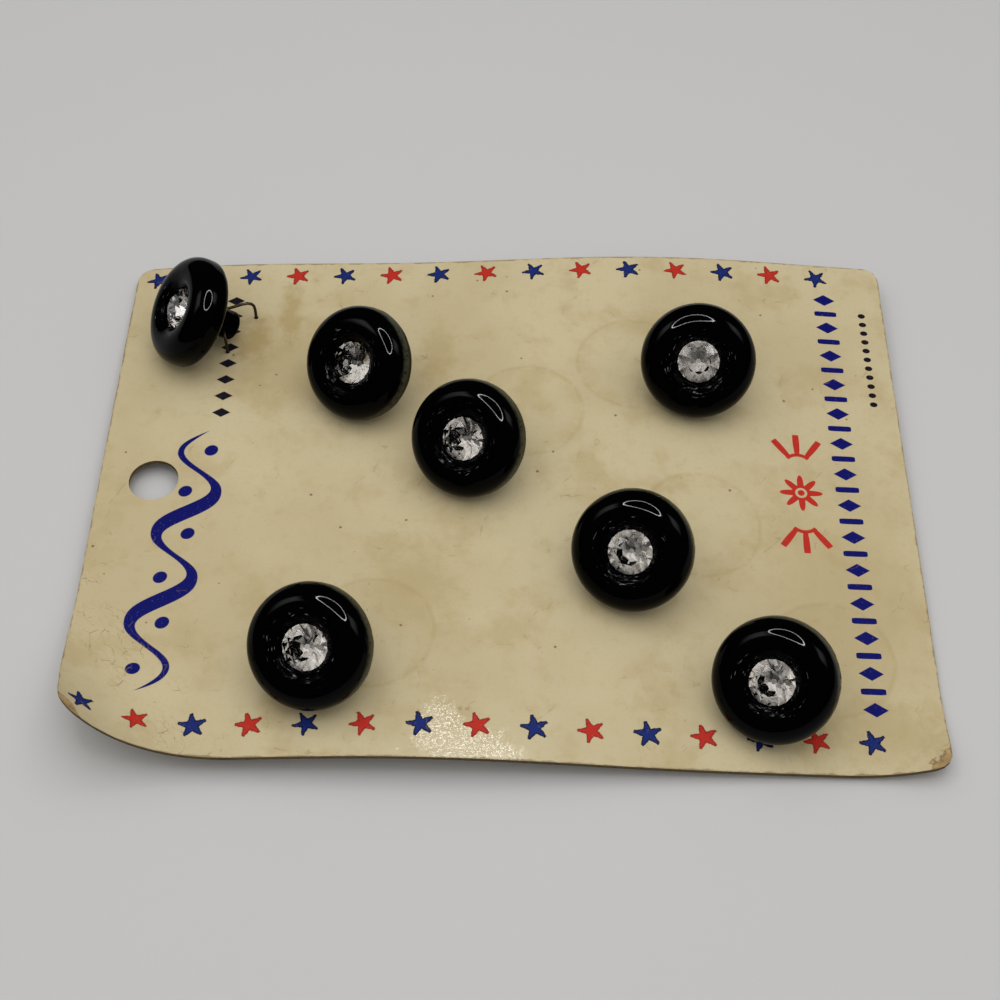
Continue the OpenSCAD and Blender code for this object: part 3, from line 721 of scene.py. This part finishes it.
def board():
    """The warped board, with a face, a back and a cut edge of their own materials."""
    bm = bmesh.new()
    bmesh.ops.create_grid(bm, x_segments=BOARD_COLUMNS, y_segments=BOARD_ROWS, size=1)
    bmesh.ops.scale(bm, vec=(HALF_W, HALF_H, 1), verts=bm.verts)
    punch(bm, HANG_HOLE, HANG_HOLE_R, HANG_HOLE_CELLS)
    for i, seat in enumerate(seats):
        for side in (-1, 1):
            punch(bm, seat.wire_hole(side, i == 0 and side < 0), WIRE_R + WIRE_GAP, WIRE_HOLE_CELLS)
    flat = bm.verts.layers.float_vector.new("flat")
    depth = bm.verts.layers.float_vector.new("depth")
    for vert in bm.verts:
        from_edge = min(HALF_W - abs(vert.co.x), HALF_H - abs(vert.co.y))
        outline = from_edge < OUTLINE_TOLERANCE
        place = rounded_corner(*(frayed(vert) if outline else vert.co.xy))
        vert[flat] = Vector((*place, 0)) * TO_MM
        vert.co = sheet_point(*place)
    back = bm.faces[:]
    back_verts = bm.verts[:]
    raised = bmesh.ops.extrude_face_region(bm, geom=back, use_keep_orig=True)["geom"]
    face = {item for item in raised if isinstance(item, bmesh.types.BMFace)}
    bmesh.ops.translate(bm, verts=back_verts, vec=(0, 0, -CARD_T))
    for vert in back_verts:
        vert[depth] = Vector((1, 1, 1))
    for item in bm.faces:
        item.material_index = 0 if item in face else 2
    for item in back:
        item.material_index = 1
    bmesh.ops.recalc_face_normals(bm, faces=bm.faces)
    mesh = mesh_of(bm, "board", BOARD_SMOOTH)
    finished("board", mesh, [board_face(), board_back(), board_edge()], "card")


DOME_STEPS, EDGE_STEPS, ROUND_STEPS, DRILL_STEPS = 28, 8, 96, 32
SPIN_WELD, HOLE_WELD = 1e-6, 0.00001
RIM_ROUGHNESS, RIM_BUMP_SCALE, RIM_BUMP_SEED = 0.00004, 900, 0.01
BUTTON_SMOOTH = 40


def arc(centre_r, centre_z, radius, start, end, steps):
    """Points of an arc in a button's section."""
    angles = [start + (end - start) * k / steps for k in range(steps + 1)]
    return [(centre_r + radius * math.cos(a), centre_z + radius * math.sin(a)) for a in angles]


def button_section():
    """Outline of half a button: tip, shank, cone, back edge, side, dome, lip and the stone's seat."""
    quarter = math.pi / 2
    return [
        (0, TIP_Z),
        *arc(TIP_C, TIP_Z + TIP_R, TIP_R, -quarter, 0, EDGE_STEPS),
        (SHANK_R, CONE_Z),
        *arc(BACK_EDGE_C, 0, BACK_EDGE_R, -quarter, 0, EDGE_STEPS),
        *arc(RING_R, SIDE_H, DOME_R, 0, LIP_ANGLE, DOME_STEPS),
        (SEAT_R, GIRDLE_Z - GIRDLE_H),
        (SEAT_R * CULET_SHARE, SEAT_FLOOR_Z),
        (0, SEAT_FLOOR_Z),
    ]


def blank_button():
    """One button in its own frame, with the hole across its shank."""
    bm = bmesh.new()
    verts = [bm.verts.new((radius, 0, z)) for radius, z in button_section()]
    edges = [bm.edges.new(pair) for pair in zip(verts, verts[1:])]
    bmesh.ops.spin(
        bm, geom=verts + edges, cent=(0, 0, 0), axis=(0, 0, 1), angle=2 * math.pi, steps=ROUND_STEPS,
        use_merge=True)
    bmesh.ops.remove_doubles(bm, verts=bm.verts, dist=SPIN_WELD)
    bmesh.ops.recalc_face_normals(bm, faces=bm.faces)
    mesh = bpy.data.meshes.new("blank_button")
    bm.to_mesh(mesh)
    bm.clear()
    across = Matrix.Translation((0, 0, TIP_Z + SHANK_HOLE_RISE)) @ turn(math.pi / 2, "X")
    bmesh.ops.create_cone(
        bm, cap_ends=True, segments=DRILL_STEPS, radius1=SHANK_HOLE_R, radius2=SHANK_HOLE_R,
        depth=4 * SHANK_R, matrix=across)
    drill_mesh = bpy.data.meshes.new("drill")
    bm.to_mesh(drill_mesh)
    bm.free()
    drill = bpy.data.objects.new("drill", drill_mesh)
    blank = bpy.data.objects.new("blank_button", mesh)
    for thing in (drill, blank):
        bpy.context.scene.collection.objects.link(thing)
    cut = blank.modifiers.new("cross_hole", "BOOLEAN")
    cut.object, cut.operation, cut.solver = drill, "DIFFERENCE", "EXACT"
    drilled = bpy.data.meshes.new_from_object(blank.evaluated_get(bpy.context.evaluated_depsgraph_get()))
    for thing in (drill, blank):
        bpy.data.objects.remove(thing)
    bm = bmesh.new()
    bm.from_mesh(drilled)
    bmesh.ops.remove_doubles(bm, verts=bm.verts, dist=HOLE_WELD)
    bmesh.ops.triangulate(bm, faces=[face for face in bm.faces if len(face.verts) > 4])
    bm.to_mesh(drilled)
    bm.free()
    return drilled


def buttons():
    """Pressed buttons, each a little uneven round its side wall."""
    glass = black_glass()
    blank = blank_button()
    for i, seat in enumerate(seats):
        bm = bmesh.new()
        bm.from_mesh(blank)
        local = bm.verts.layers.float_vector.new("local")
        number = bm.verts.layers.float_vector.new("number")
        for vert in bm.verts:
            vert[local] = vert.co * TO_MM
            vert[number] = Vector((i, i, i))
            if abs(vert.co.z) < SIDE_H and vert.co.xy.length > RING_R:
                rough = noise.noise(Vector((*vert.co.xy, RIM_BUMP_SEED * i)) * RIM_BUMP_SCALE)
                vert.co.xy *= 1 + RIM_ROUGHNESS / BUTTON_R * rough
        bm.transform(seat.frame)
        mesh = mesh_of(bm, f"pressed_button_{i + 1}", BUTTON_SMOOTH)
        finished(f"pressed_button_{i + 1}", mesh, [glass], f"button_{i + 1}")


STONE_TURN, FACET_ANGLE, STONE_SMOOTH = math.radians(17), math.radians(1), 0
CAD_WELD, WIRE_SMOOTH = 1e-7, 60


def stones():
    """Cut stones, each set at its own turn: clear in front of the girdle, silvered behind it."""
    clear, silver = crystal(), foil()
    for i, seat in enumerate(seats):
        bm = bmesh.new()
        bm.from_mesh(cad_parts[f"rhinestone_{i + 1}"].data)
        bmesh.ops.remove_doubles(bm, verts=bm.verts, dist=CAD_WELD)
        bmesh.ops.dissolve_limit(bm, angle_limit=FACET_ANGLE, verts=bm.verts, edges=bm.edges)
        into_button = seat.frame.inverted()
        for face in bm.faces:
            face.material_index = int((into_button @ face.calc_center_median()).z < GIRDLE_Z - GIRDLE_H)
        bm.transform(seat.frame @ turn(STONE_TURN * (i + 0.5), "Z") @ into_button)
        mesh = mesh_of(bm, f"cut_stone_{i + 1}", STONE_SMOOTH)
        finished(f"cut_stone_{i + 1}", mesh, [clear, silver], f"rhinestone_{i + 1}")


def wires():
    """Drawn wires: the solids' own routes, rounded."""
    metal = dark_wire()
    for i in range(len(seats)):
        bm = bmesh.new()
        bm.from_mesh(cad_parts[f"wire_{i + 1}"].data)
        bmesh.ops.remove_doubles(bm, verts=bm.verts, dist=CAD_WELD)
        mesh = mesh_of(bm, f"drawn_wire_{i + 1}", WIRE_SMOOTH)
        finished(f"drawn_wire_{i + 1}", mesh, [metal], f"wire_{i + 1}")


# Camera at the photograph's place: its own frame is turned a little about the part's
FOCAL_PX, IMAGE_PX, SENSOR_MM = 1749.35, 1000, 36
CAMERA_PLACE = Vector((-0.000595, -0.132577, 0.175546))
CAMERA_ELEVATION, CAMERA_YAW, CAMERA_ROLL = math.radians(52.849), -0.0043, 0.017
CLIP_NEAR, CLIP_FAR = 0.01, 10


def camera():
    data = bpy.data.cameras.new("camera")
    data.sensor_width = SENSOR_MM
    data.lens = SENSOR_MM * FOCAL_PX / IMAGE_PX
    data.clip_start, data.clip_end = CLIP_NEAR, CLIP_FAR
    viewer = bpy.data.objects.new("camera", data)
    bpy.context.scene.collection.objects.link(viewer)
    looking = turn(math.pi / 2 - CAMERA_ELEVATION, "X") @ turn(CAMERA_ROLL, "Z")
    viewer.matrix_world = turn(CAMERA_YAW, "Z") @ Matrix.Translation(CAMERA_PLACE) @ looking
    bpy.context.scene.camera = viewer


# Light: a room that is brightest overhead, and a ring lamp over the card that shows in the glass
ROOM_LEVEL, ROOM_FOCUS, STONE_FOCUS, BACKDROP = 1.06, 2.0, 3.0, 0.42
ROOM_IN_GLASS, SIDE_IN_GLASS, SIDE_IN_STONE = 0.02, 5.0, 0.9
LAMP_PLACE, LAMP_R, LAMP_WIDTH = Vector((-0.005, -0.011, 0.175)), 0.059, 0.004
LAMP_GLOW, LAMP_SHINE, LAMP_STEPS = 12.0, 110.0, 96
SIDE_START, SIDE_FOOT = (0.25, 0.5), (0.5, 0.8)
STRIP_END, STRIP_TOP = (0.25, 0.1), (0.88, 0.8)


def room():
    """Sky light that falls off toward the horizon, plain behind the part; glass shows its two sides."""
    world = bpy.data.worlds.new("room")
    bpy.context.scene.world = world
    f = Finish(world)
    side, ahead, height = f.parts(f.out(f.node("TexCoord"), "Generated"))
    zenith = ROOM_LEVEL * (ROOM_FOCUS + 2) / 2
    path = f.node("LightPath")
    seen, refracted = f.out(path, "Is Camera Ray"), f.out(path, "Is Transmission Ray")
    mirrored = f.out(path, "Is Glossy Ray") * (1.0 - refracted)
    focus = refracted * (STONE_FOCUS - ROOM_FOCUS) + ROOM_FOCUS
    sky = f.math("POWER", f.math("MAXIMUM", height, 0.0), focus) * zenith
    sides = f.step(abs(side), *SIDE_START) * f.step(height, *SIDE_FOOT)
    strips = sides * f.step(abs(ahead), *STRIP_END) * f.step(height, *STRIP_TOP)
    in_glass = mirrored * (strips * SIDE_IN_GLASS + ROOM_IN_GLASS) + refracted * sides * SIDE_IN_STONE
    level = sky * (1.0 - seen) * (1.0 - mirrored) + seen * BACKDROP + in_glass
    f.end(f.node("Background", {"Strength": level}), "OutputWorld")


def ring_lamp(name, strength):
    """A flat glowing ring over the card, unseen by the camera."""
    bm = bmesh.new()
    inner = bmesh.ops.create_circle(bm, segments=LAMP_STEPS, radius=LAMP_R - LAMP_WIDTH / 2)["verts"]
    outer = bmesh.ops.create_circle(bm, segments=LAMP_STEPS, radius=LAMP_R + LAMP_WIDTH / 2)["verts"]
    bmesh.ops.bridge_loops(bm, edges=list({edge for vert in inner + outer for edge in vert.link_edges}))
    bmesh.ops.translate(bm, verts=bm.verts, vec=LAMP_PLACE)
    mesh = bpy.data.meshes.new(name)
    bm.to_mesh(mesh)
    bm.free()
    f = material(name)
    mesh.materials.append(f.end(f.node("Emission", {"Strength": strength}), "OutputMaterial"))
    lamp = bpy.data.objects.new(name, mesh)
    bpy.context.scene.collection.objects.link(lamp)
    lamp.visible_camera = False
    lamp.visible_shadow = False
    return lamp


def lamps():
    """One ring lights the scene and its twin shows in glossy surfaces, so that black glass stays black."""
    glow = ring_lamp("ring_glow", LAMP_GLOW)
    glow.visible_glossy = False
    glow.visible_transmission = False
    shine = ring_lamp("ring_shine", LAMP_SHINE)
    shine.visible_diffuse = False
    shine.visible_transmission = False


FLOOR_HALF = 12.0


def floor():
    bm = bmesh.new()
    bmesh.ops.create_grid(bm, x_segments=1, y_segments=1, size=FLOOR_HALF)
    mesh = bpy.data.meshes.new("floor")
    bm.to_mesh(mesh)
    bm.free()
    mesh.materials.append(table_top())
    ground = bpy.data.objects.new("floor", mesh)
    bpy.context.scene.collection.objects.link(ground)


camera()
room()
lamps()
floor()
board()
buttons()
stones()
wires()
bpy.context.scene.view_settings.view_transform = "Standard"
